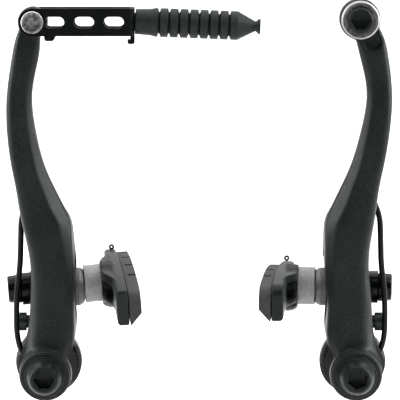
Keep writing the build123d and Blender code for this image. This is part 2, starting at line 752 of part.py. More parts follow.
def pin_bar(radius, low, high):
    """Upright round bar at the pad's pin, between two heights above the seat's centre."""
    x, y, z = seat_point()
    depth, along = pin_place()
    bar = Pos(inward(depth), y, z + (low + high) / 2) * Cylinder(radius, high - low)
    return along_shoe(bar, along)


def pin_hole():
    """Cutter for the pin's hole through the holder and the pad's key."""
    return pin_bar(PIN_R + PIN_CLEARANCE, -HOLDER_HEIGHT, 2 * HOLDER_HEIGHT)


def pad_pin():
    """Wire pin with a loop that stands on the holder's top."""
    x, y, z = seat_point()
    depth, along = pin_place()
    top = SHOE_CROWN + HOLDER_HEIGHT / 2
    loop_height = top + PIN_LOOP_R + PIN_R
    loop = Pos(inward(depth), y, z + loop_height) * Rot(90, 0, 0) * Torus(PIN_LOOP_R, PIN_R)
    return pin_bar(PIN_R, SHOE_CROWN - HOLDER_HEIGHT / 2, top + PIN_R) + along_shoe(loop, along)


# Cable link


def link_bracket():
    """Sheet folded to a U round the arm's head, with windows, a keyhole, a stop and a lower hook."""
    front, back = ARM_FRONT + SHEET_GAP + SHEET, HEAD_BACK - SHEET_GAP - SHEET
    middle = (front + back) / 2
    end = LINK_HEAD_OFFSET - LINK_LENGTH
    far = LINK_HEAD_OFFSET + LINK_HEIGHT
    outside = Rectangle(far - end, front - back, align=(Align.MIN, Align.CENTER))
    outside = fillet(outside.vertices().sort_by(Axis.X)[:2], BEND_R)
    inside = Rectangle(far - end, front - back - 2 * SHEET, align=(Align.MIN, Align.CENTER))
    inside = fillet(inside.vertices().sort_by(Axis.X)[:2], BEND_R - SHEET)
    fold = outside - Pos(SHEET, 0) * inside
    fold = Pos(end, -middle, ARM_REACH - LINK_HEIGHT) * extrude(fold, 2 * LINK_HEIGHT)

    half = LINK_HEIGHT / 2
    side = SlotCenterPoint((-LINK_LENGTH / 2, 0), (0, 0), LINK_HEIGHT)
    side += Pos(-LINK_LENGTH / 2, 0) * Rectangle(LINK_LENGTH, LINK_HEIGHT)
    stop = Pos(-STOP_REACH, -half) * RectangleRounded(STOP_WIDTH, 2 * STOP_DROP, STOP_DROP * 0.6)
    side += stop
    for index in range(WINDOWS):
        centre = -WINDOW_START - index * WINDOW_PITCH
        side -= Pos(centre, 0) * SlotOverall(WINDOW_LENGTH, WINDOW_HEIGHT)
    side -= Circle(RIVET_R)
    cut = extrude(Plane.XZ * side, front - back, both=True)
    bracket = fold & Pos(LINK_HEAD_OFFSET, -middle, ARM_REACH) * cut

    bracket -= bar_x(KEYHOLE_R, end - 1, end + 2 * SHEET, -middle, ARM_REACH)
    slot = KEYHOLE_SLOT / 2
    slot_width = (-middle - slot, -middle + slot)
    bracket -= block((end - 1, end + SHEET), slot_width, (ARM_REACH, ARM_REACH + LINK_HEIGHT))
    bottom = ARM_REACH - half - HOOK_DROP
    width = (-middle - HOOK_WIDTH / 2, -middle + HOOK_WIDTH / 2)
    hook = block((end, end + SHEET), width, (bottom, ARM_REACH - half + BEND_R / 2))
    hook += block((end, end + SHEET + HOOK_CURL), width, (bottom, bottom + SHEET))
    hook = fillet(hook.edges().filter_by(Axis.Y).sort_by(Axis.Z)[:2], SHEET / 2.2)
    return bracket + hook


def link_rivet():
    """Rivet through both sheets and the arm's head, with a dished front head."""
    front, back = ARM_FRONT + SHEET_GAP + SHEET, HEAD_BACK - SHEET_GAP - SHEET
    rivet = turned_y(
        [
            (0, RIVET_HEAD - back),
            (RIVET_HEAD_R - BOSS_EDGE, RIVET_HEAD - back),
            (RIVET_HEAD_R, RIVET_HEAD - back - BOSS_EDGE),
            (RIVET_HEAD_R, -back),
            (RIVET_R, -back),
            (RIVET_R, -front),
            (RIVET_HEAD_R, -front),
            (RIVET_HEAD_R, BOSS_EDGE - front - RIVET_HEAD),
            (RIVET_HEAD_R - BOSS_EDGE / 2, -front - RIVET_HEAD),
            (RIVET_DISH_R, RIVET_DISH - front - RIVET_HEAD),
            (0, RIVET_DISH - front - RIVET_HEAD),
        ]
    )
    return Pos(LINK_HEAD_OFFSET, 0, ARM_REACH) * rivet


def boot_profile():
    """Outer (length, radius) points of the boot, from the sheet to the tip."""
    points = [(0, NECK_R), (NECK_LENGTH, NECK_R), (NECK_LENGTH + FLARE_LENGTH, RIB_R)]
    start = NECK_LENGTH + FLARE_LENGTH
    gap = RIB_PITCH - RIB_WIDTH
    for index in range(RIBS + 1):
        groove = start + index * RIB_PITCH
        points.append((groove + 0.25 * gap, GROOVE_R))
        points.append((groove + 0.75 * gap, GROOVE_R))
        points.append((groove + gap, RIB_R))
        points.append((groove + RIB_PITCH, RIB_R))
    cone = points[-1][0] + CONE_LENGTH
    end = cone + TIP_LENGTH
    points += [(cone, CONE_END_R), (cone + TIP_EDGE, TIP_R), (end, TIP_R)]
    return points


def cable_boot():
    """Hollow rubber bellows, whose spigot and lip sit in the bracket's keyhole."""
    points = boot_profile()
    end = points[-1][0]
    cone = end - TIP_LENGTH - CONE_LENGTH
    spigot = KEYHOLE_R - SPIGOT_CLEARANCE
    inside = SHEET + SPIGOT_CLEARANCE
    collar = turned_x(
        [
            (-inside - LIP_LENGTH, 0),
            (-inside - LIP_LENGTH, LIP_R),
            (-inside - LIP_EDGE, LIP_R),
            (-inside, spigot + LIP_EDGE / 2),
            (-inside, spigot),
            (NECK_LENGTH / 2, spigot),
            (NECK_LENGTH / 2, 0),
        ]
    )
    start = NECK_R * sin(radians(BOOT_DROOP)) + SPIGOT_CLEARANCE
    body = turned_x([(start, 0), (start, NECK_R), *points[1:], (end, 0)])
    hollow = turned_x(
        [
            (NECK_LENGTH / 2, 0),
            (NECK_LENGTH / 2, BOOT_BORE_R),
            (cone, BOOT_BORE_R),
            (cone + CONE_LENGTH / 2, CABLE_BORE_R),
            (end + 1, CABLE_BORE_R),
            (end + 1, 0),
        ]
    )
    droop = Rot(0, BOOT_DROOP, 0)
    boot = collar + droop * body - droop * hollow - bar_x(PIPE_BORE_R, -2 * LIP_R, NECK_LENGTH)
    front, back = ARM_FRONT + SHEET_GAP + SHEET, HEAD_BACK - SHEET_GAP - SHEET
    place = Pos(LINK_HEAD_OFFSET - LINK_LENGTH, -(front + back) / 2, ARM_REACH)
    return place * Rot(0, 0, 180) * boot


# Cable anchor


def anchor_plate():
    """Dished washer that clamps the cable, with the cable's groove across its back."""
    front = ARM_FRONT + ANCHOR_PLATE
    plate = turned_y(
        [
            (M6_R + RUNNING_CLEARANCE, -ARM_FRONT),
            (ANCHOR_PLATE_R, -ARM_FRONT),
            (ANCHOR_PLATE_R, RING_EDGE - front),
            (ANCHOR_PLATE_R - RING_EDGE, -front),
            (ANCHOR_DISH_R, -front),
            (ANCHOR_BOLT_R, ANCHOR_DISH - front),
            (M6_R + RUNNING_CLEARANCE, ANCHOR_DISH - front),
        ]
    )
    reach = 2 * ANCHOR_PLATE_R
    groove = bar_x(CABLE_GROOVE_R, -reach, reach, -ARM_FRONT, -CABLE_GROOVE_OFFSET)
    return Pos(ANCHOR_HEAD_OFFSET, 0, ANCHOR_HEIGHT) * (plate - groove)


def anchor_bolt():
    """Socket bolt through the plate into the arm's head."""
    seat = ARM_FRONT + ANCHOR_PLATE - ANCHOR_DISH
    front = seat + ANCHOR_HEAD
    bolt = turned_y(
        [
            (0, ANCHOR_TAIL - HEAD_BACK),
            (M6_R, ANCHOR_TAIL - HEAD_BACK),
            (M6_R, -seat),
            (ANCHOR_BOLT_R, -seat),
            (ANCHOR_BOLT_R, RING_EDGE - front),
            (ANCHOR_BOLT_R - RING_EDGE, -front),
            (0, -front),
        ]
    )
    socket = Rot(0, ANCHOR_TURN, 0) * hex_socket(ANCHOR_SOCKET, front)
    return Pos(ANCHOR_HEAD_OFFSET, 0, ANCHOR_HEIGHT) * (bolt - socket)


# Both sides


def placed(shape, side):
    """A piece moved to the right pivot, or mirrored to the left one."""
    if side == "right":
        return Pos(PIVOT_SPACING / 2, 0, 0) * shape
    return Pos(-PIVOT_SPACING / 2, 0, 0) * mirror(shape, about=Plane.YZ)


SHARED = {
    "pivot_bush": pivot_bush,
    "pivot_ring": pivot_ring,
    "mounting_bolt": mounting_bolt,
    "spring_cap": spring_cap,
    "return_spring": return_spring,
    "spring_peg": spring_peg,
    "tension_screw": tension_screw,
}
SEATED = {
    "inner_convex_washer": inner_convex_washer,
    "outer_convex_washer": outer_convex_washer,
}
LEANING = {
    "inner_spacer": inner_spacer,
    "outer_concave_washer": outer_concave_washer,
    "shoe_nut": shoe_nut,
    "brake_pad": brake_pad,
    "pad_pin": pad_pin,
}


def brake():
    """Every node of the brake by name."""
    nodes = {
        "left_arm": placed(left_arm(), "left"),
        "link_bracket": placed(link_bracket(), "left"),
        "link_rivet": placed(link_rivet(), "left"),
        "cable_boot": placed(cable_boot(), "left"),
        "right_arm": placed(right_arm(), "right"),
        "anchor_plate": placed(anchor_plate(), "right"),
        "anchor_bolt": placed(anchor_bolt(), "right"),
    }
    for name, make in SHARED.items():
        shape = make()
        for side in ("left", "right"):
            nodes[f"{side}_{name}"] = placed(shape, side)
    leaning = {name: make() for name, make in LEANING.items()}
    for side in ("left", "right"):
        seat = Pos(-SEAT_SHIFT[side], 0, -SHOE_DROP[side])
        for name, make in SEATED.items():
            nodes[f"{side}_{name}"] = placed(seat * make(SEAT_SHIFT[side]), side)
        shoe = {**leaning, "shoe_holder": shoe_holder(HOLDER_END_R[side])}
        for name, shape in shoe.items():
            nodes[f"{side}_{name}"] = placed(seat * leaned(shape, side), side)
    return nodes


os.makedirs("parts", exist_ok=True)
for node, shape in brake().items():
    export_step(shape, f"parts/{node}.step")
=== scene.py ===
"""Studio scene of a linear-pull rim brake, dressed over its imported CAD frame.

Objects are in metres, in the CAD's frame. The shapes' own numbers are millimetres, and MM makes them
metres.
"""

import json
from math import cos, pi, radians, sin, tau

import bmesh
import bpy
from mathutils import Matrix, Vector


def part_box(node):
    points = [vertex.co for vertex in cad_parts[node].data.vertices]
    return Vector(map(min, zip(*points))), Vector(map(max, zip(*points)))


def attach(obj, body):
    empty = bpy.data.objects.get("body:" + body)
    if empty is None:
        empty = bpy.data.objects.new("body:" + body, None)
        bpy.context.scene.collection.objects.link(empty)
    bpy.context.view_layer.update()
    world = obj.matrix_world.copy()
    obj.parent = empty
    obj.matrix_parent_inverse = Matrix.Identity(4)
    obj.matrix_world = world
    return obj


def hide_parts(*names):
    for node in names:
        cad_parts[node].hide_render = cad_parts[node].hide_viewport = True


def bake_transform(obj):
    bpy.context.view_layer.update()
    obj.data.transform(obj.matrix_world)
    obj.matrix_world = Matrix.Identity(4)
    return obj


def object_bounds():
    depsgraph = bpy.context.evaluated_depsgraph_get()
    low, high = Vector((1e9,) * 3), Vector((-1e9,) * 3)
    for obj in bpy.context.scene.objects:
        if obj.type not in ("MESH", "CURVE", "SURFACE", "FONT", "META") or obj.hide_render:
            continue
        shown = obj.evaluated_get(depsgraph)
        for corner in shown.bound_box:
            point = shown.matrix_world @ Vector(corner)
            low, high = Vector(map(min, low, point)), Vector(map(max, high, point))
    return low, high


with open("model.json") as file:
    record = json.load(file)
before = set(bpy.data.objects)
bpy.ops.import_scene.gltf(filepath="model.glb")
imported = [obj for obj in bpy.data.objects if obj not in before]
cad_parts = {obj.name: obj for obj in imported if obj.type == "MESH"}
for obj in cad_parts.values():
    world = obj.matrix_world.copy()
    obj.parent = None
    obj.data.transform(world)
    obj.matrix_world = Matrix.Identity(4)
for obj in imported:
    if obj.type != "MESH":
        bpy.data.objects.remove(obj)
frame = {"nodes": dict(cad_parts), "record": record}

CAD_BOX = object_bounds()
NODES = frame["nodes"]
SIDES = {"left": -1, "right": 1}
MM = 0.001


def middle_of(node):
    """Centre of a CAD node's box, in millimetres."""
    low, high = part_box(node)
    return [(a + b) / 2 / MM for a, b in zip(low, high)]


def front_of(node):
    """Distance of a node's front in front of the frame's shoulder, in millimetres."""
    return -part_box(node)[0][1] / MM


def back_of(node):
    """Distance of a node's back in front of the frame's shoulder, in millimetres."""
    return -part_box(node)[1][1] / MM


def radius_of(node):
    """Half of a node's width, in millimetres."""
    low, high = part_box(node)
    return (high[0] - low[0]) / 2 / MM


# Materials: a surface's numbers are worked out with plain arithmetic on shader sockets.


class Value:
    """A shader output that takes arithmetic and joins to other nodes."""

    def __init__(self, shader, socket):
        self.shader = shader
        self.socket = socket

    def math(self, operation, *others):
        """This value with others through one Math node."""
        return self.shader.add("ShaderNodeMath", self, *others, operation=operation)

    def __add__(self, other):
        return self.math("ADD", other)

    def __sub__(self, other):
        return self.math("SUBTRACT", other)

    def __mul__(self, other):
        return self.math("MULTIPLY", other)

    __radd__ = __add__
    __rmul__ = __mul__

    def __rsub__(self, other):
        return self.shader.add("ShaderNodeMath", other, self, operation="SUBTRACT")

    def __pow__(self, other):
        return self.math("POWER", other)

    def clamp(self, low, high):
        """This value mapped from low..high to 0..1, held at the ends."""
        return self.shader.add("ShaderNodeMapRange", self, low, high, 0.0, 1.0)


class Shader:
    """A node tree of a material or of the surroundings."""

    def __init__(self, owner):
        owner.use_nodes = True
        self.tree = owner.node_tree

    def add(self, kind, *inputs, out=0, **properties):
        """A node with its properties set and its inputs joined or set in order."""
        node = self.tree.nodes.new(kind)
        for key, value in properties.items():
            setattr(node, key, value)
        for slot, value in zip(node.inputs, inputs):
            if isinstance(value, Value):
                self.tree.links.new(value.socket, slot)
            elif value is not None:
                slot.default_value = value
        return Value(self, node.outputs[out])


class Paint(Shader):
    """One Principled material and the nodes that vary it."""

    def __init__(self, name, colour, roughness, metallic=0.0, shine=0.5):
        self.material = bpy.data.materials.new(name)
        super().__init__(self.material)
        self.surface = self.tree.nodes["Principled BSDF"]
        self.surface.inputs["Base Color"].default_value = (*colour, 1.0)
        self.surface.inputs["Roughness"].default_value = roughness
        self.surface.inputs["Metallic"].default_value = metallic
        self.surface.inputs["Specular IOR Level"].default_value = shine
        self.place = self.add("ShaderNodeTexCoord", out="Object")

    def noise(self, scale, detail=2.0, stretch=None):
        """Noise from 0 to 1, with its scale in cycles per metre."""
        octave_share = 0.55
        place = self.place
        if stretch:
            place = self.add("ShaderNodeVectorMath", self.place, stretch, operation="MULTIPLY")
        return self.add("ShaderNodeTexNoise", place, None, scale, detail, octave_share)

    def along(self, axis):
        """One coordinate of the surface point."""
        return self.add("ShaderNodeSeparateXYZ", self.place, out=axis)

    def mix(self, factor, low, high):
        """Colour between two colours."""
        unused = (None,) * 5
        ends = [end if isinstance(end, Value) else (*end, 1.0) for end in (low, high)]
        return self.add("ShaderNodeMix", factor, *unused, *ends, out=2, data_type="RGBA")

    def feed(self, key, value):
        """Joins a varying value to the surface."""
        self.tree.links.new(value.socket, self.surface.inputs[key])

    def dull(self, share, colour):
        """Mixes a surface without reflections into this one."""
        plain = self.add("ShaderNodeBsdfDiffuse", (*colour, 1.0), 1.0)
        end = self.tree.nodes["Material Output"].inputs["Surface"]
        both = self.add("ShaderNodeMixShader", share, Value(self, end.links[0].from_socket), plain)
        self.tree.links.new(both.socket, end)

    def bump(self, height, strength, depth):
        """Relief from a 0 to 1 height, with its depth in millimetres."""
        self.feed("Normal", self.add("ShaderNodeBump", strength, depth * MM, None, height))


COOL = (0.78, 1.0, 0.99)
NEUTRAL = (0.99, 0.99, 1.0)
GRAIN_DEPTH = 0.08
LINE_DEPTH = 0.06


def shade(level, tint):
    """A colour of one brightness in a tint."""
    return tuple(level * part for part in tint)


def speckled(name, dark, light, roughness, grain, metallic=0.0, relief=0.12, tint=COOL, shine=0.5):
    """Coated or cast surface: fine grain over slow cloudiness, in colour, gloss and relief."""
    clouds = 90.0
    dark, light = shade(dark, tint), shade(light, tint)
    paint = Paint(name, dark, roughness, metallic, shine)
    fine = paint.noise(grain, 3.0)
    slow = paint.noise(clouds)
    paint.feed("Base Color", paint.mix((0.75 * fine + 0.25 * slow).clamp(0.36, 0.68), dark, light))
    paint.feed("Roughness", 0.16 * fine + 0.1 * slow + (roughness - 0.13))
    paint.bump(fine, relief, GRAIN_DEPTH)
    return paint


def brushed(name, dark, light, roughness, stretch, scale):
    """Machined metal: fine lines along one way, with a little colour and gloss of their own."""
    clouds = 260.0
    dark, light = shade(dark, NEUTRAL), shade(light, NEUTRAL)
    paint = Paint(name, dark, roughness, metallic=1.0)
    lines = paint.noise(scale, 4.0, stretch)
    slow = paint.noise(clouds)
    paint.feed("Base Color", paint.mix((0.7 * lines + 0.3 * slow).clamp(0.32, 0.68), dark, light))
    paint.feed("Roughness", 0.2 * lines + (roughness - 0.1))
    paint.bump(lines, 0.25, LINE_DEPTH)
    return paint


def painted_rim_highlight(name, dark, light, edge, metallic, node, radius, depth):
    """Rough pressed metal with a painted highlight on its rim: a brighter colour outside a radius and within
    a depth of the node's front.
    """
    grains, blur = 1100.0, 0.05 * MM
    dark, light, edge = (shade(level, NEUTRAL) for level in (dark, light, edge))
    paint = Paint(name, dark, 0.4, metallic)
    grain = paint.noise(grains, 3.0)
    centre_x, _, centre_z = middle_of(node)
    x, z = paint.along(0) - centre_x * MM, paint.along(2) - centre_z * MM
    reach = (x * x + z * z) ** 0.5
    start = (depth - front_of(node)) * MM
    outside = reach.clamp(radius * MM - blur, radius * MM + blur)
    near_front = paint.along(1).clamp(start + blur, start - blur)
    face = paint.mix(grain.clamp(0.36, 0.66), dark, light)
    # Painted highlight: the rim's brighter edge colour stands in for light caught by the rim's edge.
    paint.feed("Base Color", paint.mix(outside * near_front, face, edge))
    paint.feed("Roughness", 0.2 * grain + 0.3)
    paint.bump(grain, 0.3, GRAIN_DEPTH)
    return paint


def boss_sides(paint):
    """Share of the arms that is the bosses' sides, low down and behind their front faces."""
    low, high, front, behind = 7.0, 11.0, -26.0, -24.5
    return paint.along(2).clamp(high * MM, low * MM) * paint.along(1).clamp(front * MM, behind * MM)


def painted_washer_shade(paint):
    """Share of the arms' inner flanks that gets painted shade, where the shoes' washers and spacers would
    shade them.
    """
    full, none, inside, outside = 8.5, 12.5, 38.5, 40.5
    _, y, z = middle_of("left_inner_convex_washer")
    across, up = paint.along(1) - y * MM, paint.along(2) - z * MM
    reach = (across * across + up * up) ** 0.5
    inner = paint.along(0).math("ABSOLUTE").clamp(outside * MM, inside * MM)
    return reach.clamp(none * MM, full * MM) * inner


ARM = speckled("arm_black", 0.003, 0.0165, 0.4, 2600.0, relief=0.4, shine=0.11)
ARM.dull(boss_sides(ARM), shade(0.02, NEUTRAL))
# Painted shade: a near-black patch without reflections on the arms' inner flanks around the shoes' washers.
ARM.dull(painted_washer_shade(ARM), shade(0.003, NEUTRAL))
BOLT = speckled("bolt_black", 0.004, 0.011, 0.36, 1900.0, relief=0.08, shine=0.1)
RING = speckled("ring_black", 0.005, 0.012, 0.44, 2200.0, relief=0.1, shine=0.15)
SPRING = speckled("spring_black", 0.003, 0.008, 0.3, 1700.0, relief=0.05, shine=0.1)
STEEL_BLACK = speckled("black_steel", 0.005, 0.013, 0.34, 1900.0, metallic=0.2, relief=0.08, shine=0.2)
NUT_BLACK = speckled("gloss_black", 0.001, 0.003, 0.17, 1600.0, relief=0.03, shine=0.1)
BRIGHT = brushed("bright_steel", 0.34, 0.6, 0.34, stretch=(1, 1, 12), scale=500.0)
PIN = speckled("pin_steel", 0.02, 0.07, 0.3, 1500.0, metallic=0.7, relief=0.05, tint=NEUTRAL)
# Dish and rivet heads carry a painted highlight on their rims.
DISH = painted_rim_highlight("dish_steel", 0.12, 0.3, edge=0.3, metallic=0.3, node="anchor_plate", radius=5.05, depth=0.4)
RIVET = painted_rim_highlight("rivet_steel", 0.05, 0.22, edge=0.62, metallic=1.0, node="link_rivet", radius=3.05, depth=0.5)
SHEET = speckled("sheet_black", 0.0015, 0.004, 0.34, 2200.0, relief=0.06, shine=0.06)
CAP = speckled("cap_plastic", 0.005, 0.011, 0.28, 1500.0, relief=0.05, shine=0.15)
WASHER = speckled("dark_washer", 0.05, 0.105, 0.55, 2600.0, metallic=0.3, relief=0.1, tint=NEUTRAL)
SPACER = speckled("grey_spacer", 0.18, 0.34, 0.75, 2600.0, metallic=0.1, relief=0.3, tint=NEUTRAL, shine=0.3)
HOLDER = speckled("holder_grey", 0.004, 0.011, 0.36, 2000.0, relief=0.2, shine=0.12)
PAD = speckled("pad_rubber", 0.019, 0.036, 0.72, 1500.0, relief=0.25, tint=NEUTRAL, shine=0.2)
BOOT = speckled("boot_rubber", 0.008, 0.02, 0.52, 1800.0, shine=0.12)

FINISH = {
    "arm_black": ARM,
    "black_steel": STEEL_BLACK,
    "bright_steel": BRIGHT,
    "rivet_steel": DISH,
    "sheet_black": SHEET,
    "cap_plastic": CAP,
    "dark_washer": WASHER,
    "grey_spacer": SPACER,
    "holder_grey": HOLDER,
    "pad_rubber": PAD,
    "boot_rubber": BOOT,
}

for entry in frame["record"]["subparts"]:
    node = NODES[entry["node"]]
    node.data.materials.clear()
    node.data.materials.append(FINISH[entry["material_slot"]].material)
for side in SIDES:
    NODES[f"{side}_pad_pin"].data.materials[0] = PIN.material
    for name in ("outer_convex_washer", "outer_concave_washer"):
        NODES[f"{side}_{name}"].data.materials[0] = NUT_BLACK.material


# Shapes: turned pieces, worn copies of solids, and wire along a path.

WELD = 1e-7
SEAM = 1e-6
SHARP = radians(38)


def rounded(points, radius, steps=4):
    """A line's points with each inner corner turned into a small bend."""
    most = 0.48
    points = [Vector(point) for point in points]
    smooth = [points[0]]
    for before, corner, after in zip(points, points[1:], points[2:]):
        back, on = before - corner, after - corner
        start = corner + back.normalized() * min(radius, back.length * most)
        end = corner + on.normalized() * min(radius, on.length * most)
        for step in range(steps + 1):
            t = step / steps
            smooth.append(start.lerp(corner, t).lerp(corner.lerp(end, t), t))
    return [*smooth, points[-1]]


def finished(name, mesh, paint, body, slot, *nodes):
    """A mesh as a piece of the brake, standing for nodes.

    It is closed, faces outwards, and is smooth but for its sharp edges.
    """
    shell = bmesh.new()
    shell.from_mesh(mesh)
    bmesh.ops.remove_doubles(shell, verts=shell.verts, dist=WELD)
    bmesh.ops.dissolve_degenerate(shell, edges=shell.edges, dist=WELD)
    bmesh.ops.recalc_face_normals(shell, faces=shell.faces)
    shell.to_mesh(mesh)
    shell.free()
    mesh.materials.clear()
    mesh.materials.append(paint.material)
    mesh.shade_smooth()
    mesh.set_sharp_from_angle(angle=SHARP)
    piece = bpy.data.objects.new(name, mesh)
    bpy.context.scene.collection.objects.link(piece)
    if body:
        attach(piece, body)
    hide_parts(*nodes)
    return piece


def turned(name, profile, place, segments=72):
    """Mesh turned from (radius, length, hexagon) points in millimetres, with place setting its axis.

    The third number runs from 0, a round ring, to 1, a hexagon whose flats lie at the radius.
    """
    verts, faces = [], []
    for radius, length, six in profile:
        for k in range(segments):
            turn = tau * k / segments
            flat = 1 / cos((turn + pi / 6) % (pi / 3) - pi / 6)
            reach = radius * (1 + six * (flat - 1))
            verts.append(place @ Vector((reach * cos(turn), reach * sin(turn), length)) * MM)
    for ring in range(len(profile) - 1):
        for k in range(segments):
            a, b = ring * segments + k, ring * segments + (k + 1) % segments
            faces.append((a, b, b + segments, a + segments))
    mesh = bpy.data.meshes.new(name)
    mesh.from_pydata(verts, [], faces)
    return mesh


def facing_front(x, z, turn=0.0):
    """Place whose length runs forward from the frame's shoulder, at x and z, turned about its own axis."""
    forward = Matrix.Translation((x, 0, z)) @ Matrix.Rotation(radians(90), 4, "X")
    return forward @ Matrix.Rotation(radians(turn), 4, "Z")


def leaning(node, way):
    """Place whose length runs along a leaning solid's axis, and the lengths of its two ends.

    The axis is that of the flat faces which look to the way's side.
    """
    solid = NODES[node].data
    flat = 0.9
    axis = Vector()
    for face in solid.polygons:
        if face.normal.x * way > flat:
            axis += face.normal * face.area
    axis.normalize()
    centre = Vector(middle_of(node))
    along = [(vert.co / MM - centre).dot(axis) for vert in solid.vertices]
    place = Matrix.Translation(centre) @ axis.to_track_quat("Z", "Y").to_matrix().to_4x4()
    return place, min(along), max(along)


def softened(node, cell, passes, share, *added):
    """Mesh of a CAD node's copy, with any added meshes, in even cells.

    Its edges are worn by smoothing, and share of a point sets how far.
    """
    mesh = NODES[node].data.copy()
    shell = bmesh.new()
    for part in (mesh, *added):
        shell.from_mesh(part)
    bmesh.ops.remove_doubles(shell, verts=shell.verts, dist=SEAM)
    shell.to_mesh(mesh)
    shell.free()
    holder = bpy.data.objects.new(node + "_cells", mesh)
    bpy.context.scene.collection.objects.link(holder)
    maker = holder.modifiers.new("cells", "REMESH")
    maker.mode = "VOXEL"
    maker.voxel_size = cell * MM
    depsgraph = bpy.context.evaluated_depsgraph_get()
    even = bpy.data.meshes.new_from_object(holder.evaluated_get(depsgraph))
    bpy.data.objects.remove(holder)
    shell = bmesh.new()
    shell.from_mesh(even)
    axes = {"use_axis_x": True, "use_axis_y": True, "use_axis_z": True}
    shares = [(vert, share(vert.co / MM, vert.normal)) for vert in shell.verts]
    for step in range(passes):
        worn = [vert for vert, part in shares if part * passes > step]
        bmesh.ops.smooth_vert(shell, verts=worn, factor=0.5, **axes)
    shell.to_mesh(even)
    shell.free()
    return even


def ramp(value, low, high):
    """Share from 0 at low to 1 at high."""
    return min(max((value - low) / (high - low), 0.0), 1.0)


def threaded(radius, depth, start, end, pitch=1.0):
    """Points of a thread's ridges along a bar."""
    points = []
    turns = int((end - start) / pitch)
    for k in range(turns):
        at = start + k * pitch
        points += [(radius - depth, at + 0.1 * pitch, 0), (radius - depth, at + 0.3 * pitch, 0)]
        points += [(radius, at + 0.6 * pitch, 0), (radius, at + 0.8 * pitch, 0)]
    return points


def wire_tree():
    """Geometry nodes that draw round wire along an object's edges."""
    tree = bpy.data.node_groups.new("wire", "GeometryNodeTree")
    face = tree.interface
    face.new_socket("Path", in_out="INPUT", socket_type="NodeSocketGeometry")
    face.new_socket("Wire radius", in_out="INPUT", socket_type="NodeSocketFloat")
    face.new_socket("Wire sides", in_out="INPUT", socket_type="NodeSocketInt")
    face.new_socket("Finish", in_out="INPUT", socket_type="NodeSocketMaterial")
    face.new_socket("Wire", in_out="OUTPUT", socket_type="NodeSocketGeometry")
    given = tree.nodes.new("NodeGroupInput")
    line = tree.nodes.new("GeometryNodeMeshToCurve")
    circle = tree.nodes.new("GeometryNodeCurvePrimitiveCircle")
    tube = tree.nodes.new("GeometryNodeCurveToMesh")
    real = tree.nodes.new("GeometryNodeRealizeInstances")
    coat = tree.nodes.new("GeometryNodeSetMaterial")
    result = tree.nodes.new("NodeGroupOutput")
    tube.inputs["Fill Caps"].default_value = True
    join = tree.links.new
    join(given.outputs["Path"], line.inputs["Mesh"])
    join(given.outputs["Wire radius"], circle.inputs["Radius"])
    join(given.outputs["Wire sides"], circle.inputs["Resolution"])
    join(line.outputs["Curve"], tube.inputs["Curve"])
    join(circle.outputs["Curve"], tube.inputs["Profile Curve"])
    join(tube.outputs["Mesh"], real.inputs["Geometry"])
    join(real.outputs["Geometry"], coat.inputs["Geometry"])
    join(given.outputs["Finish"], coat.inputs["Material"])
    join(coat.outputs["Geometry"], result.inputs["Wire"])
    return tree


def drawn_wire(name, points, radius, paint, sides=20):
    """Mesh of round wire along points in millimetres."""
    path = bpy.data.meshes.new(name + "_path")
    path.from_pydata([Vector(p) * MM for p in points], [(k, k + 1) for k in range(len(points) - 1)], [])
    holder = bpy.data.objects.new(name + "_path", path)
    bpy.context.scene.collection.objects.link(holder)
    maker = holder.modifiers.new("wire", "NODES")
    maker.node_group = wire_tree()
    sockets = {item.name: item.identifier for item in maker.node_group.interface.items_tree}
    maker[sockets["Wire radius"]] = radius * MM
    maker[sockets["Wire sides"]] = sides
    maker[sockets["Finish"]] = paint.material
    depsgraph = bpy.context.evaluated_depsgraph_get()
    mesh = bpy.data.meshes.new_from_object(holder.evaluated_get(depsgraph))
    bpy.data.objects.remove(holder)
    mesh.name = name
    return mesh


# Pieces that are finer than their solids.

FINE = 96


def mounting_bolts():
    """Flanged domed bolts with hex sockets, turned with soft edges and threaded shanks."""
    shank_r, flat, rim_r, thread, plain = 3.0, 2.5, 3.45, 0.45, 3.0
    for side, turn in (("left", 34.0), ("right", -9.0)):
        node = f"{side}_mounting_bolt"
        x, _, z = middle_of(node)
        front, back = front_of(node), back_of(node)
        ring = front_of(f"{side}_pivot_ring")
        flange_r = radius_of(node)
        dome = [
            (flange_r, ring, 0),
            (flange_r, ring + 1.1, 0),
            (flange_r - 0.75, ring + 1.25, 0),
            (flange_r - 0.95, front - 2.6, 0),
            (rim_r + 0.55, front - 0.45, 0),
            (rim_r, front, 0),
            (flat + 0.55, front, 0.1),
            (flat, front - 0.4, 1),
            (flat, front - 3.1, 1),
            (0.6, front - 3.5, 0),
            (0, front - 3.5, 0),
        ]
        ridges = threaded(shank_r, thread, back + 0.5, ring - plain)
        shank = [(0, back, 0), (shank_r - 0.7, back, 0), *ridges]
        neck = [(shank_r, ring - plain, 0), (shank_r, ring, 0)]
        mesh = turned(node, [*shank, *neck, *rounded(dome, 0.42)], facing_front(x, z, turn), FINE)
        finished(f"{side}_bolt", mesh, BOLT, "pivots", "black_steel", node)


def arms():
    """Forged arms: broad soft edges on the lower front, small ones elsewhere."""
    cell, passes, least = 0.45, 50, 0.06
    for side, way in SIDES.items():
        node = f"{side}_arm"

        def share(point, normal, way=way):
            """Most on the lower front, less on its inner side, least at the boss, back and head."""
            front = ramp(-point.y, 20.0, 23.5)
            lower = ramp(point.z, 5.0, 9.0) * (1 - 0.85 * ramp(point.z, 42.0, 60.0))
            inner = 1 - 0.7 * ramp(-way * normal.x, 0.05, 0.3)
            return max(least, front * lower * inner * (1 - ramp(point.z, 92.0, 96.0)))

        mesh = softened(node, cell, passes, share)
        finished(f"{side}_forging", mesh, ARM, f"{side}_lever", "arm_black", node)


